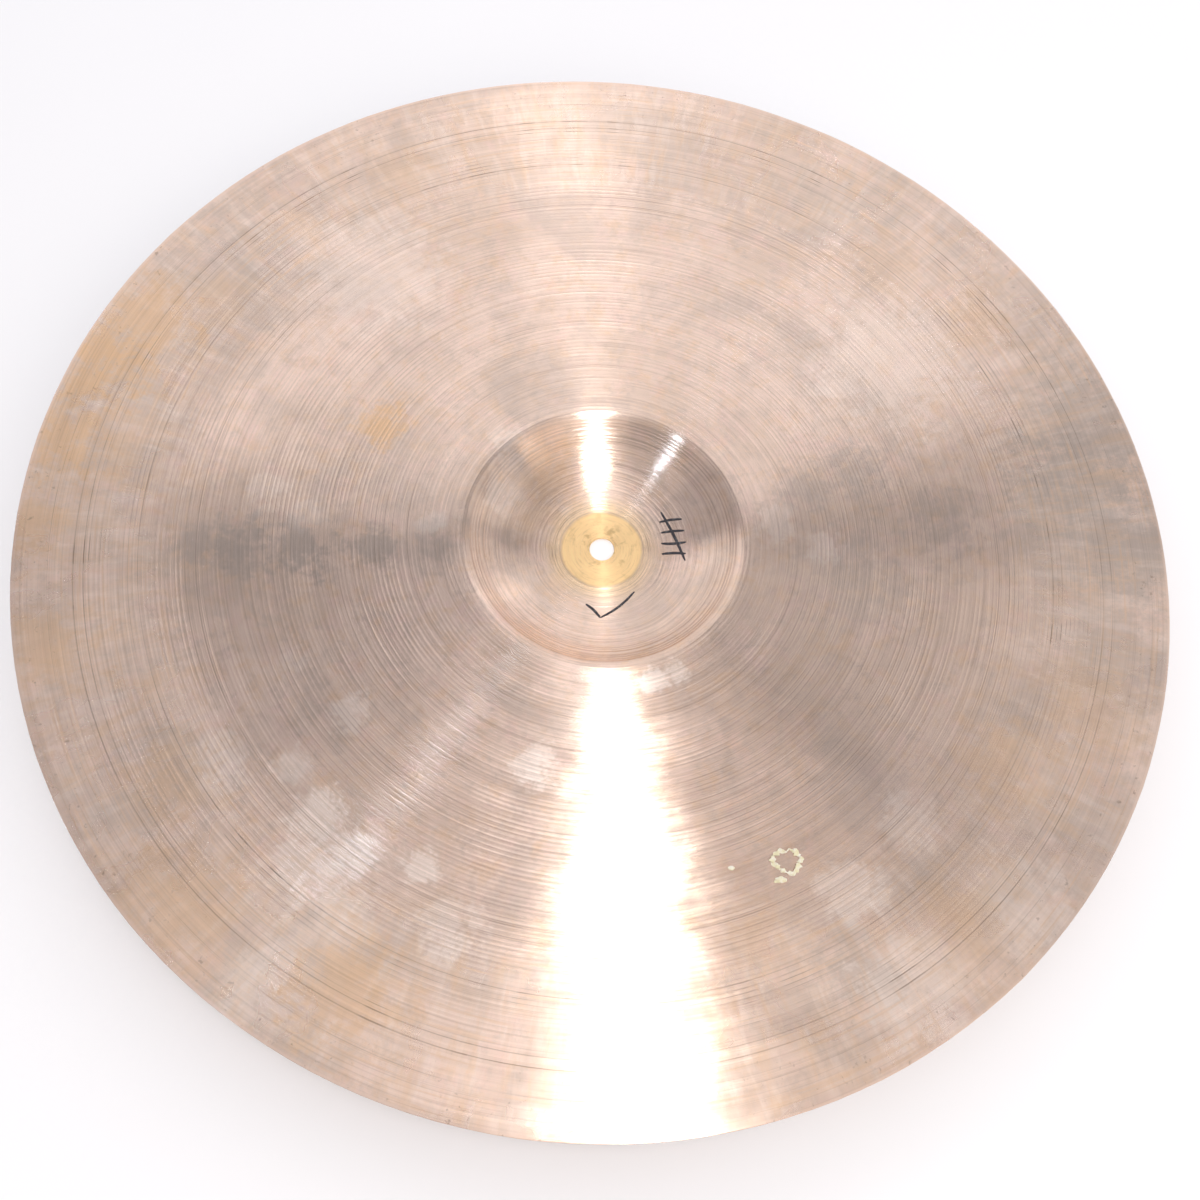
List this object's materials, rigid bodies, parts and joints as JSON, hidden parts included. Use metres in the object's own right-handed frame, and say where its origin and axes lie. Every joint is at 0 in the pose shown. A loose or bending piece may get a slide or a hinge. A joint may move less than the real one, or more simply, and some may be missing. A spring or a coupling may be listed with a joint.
{
  "type": "crash cymbal",
  "caption": "Hammered and lathed bronze crash cymbal with a raised bell and a central hole for a stand's rod, lying on its bell with the hollow side up.",
  "frame": {"origin": "on the cymbal's axis, in the plane of the bell's flat outer face, which the cymbal rests on", "axes": "+Z along the cymbal's axis, out of its hollow side; X and Y are any two directions across it"},
  "size_m": [0.5588, 0.5588, 0.0384],
  "materials": {
    "bronze": "aged cast bronze, lathed in fine rings and hammered, satin with a brown and golden patina",
    "ink": "dry marker ink on the metal"
  },
  "bodies": {
    "root": {"cymbal": "bronze"}
  },
  "joints": []
}
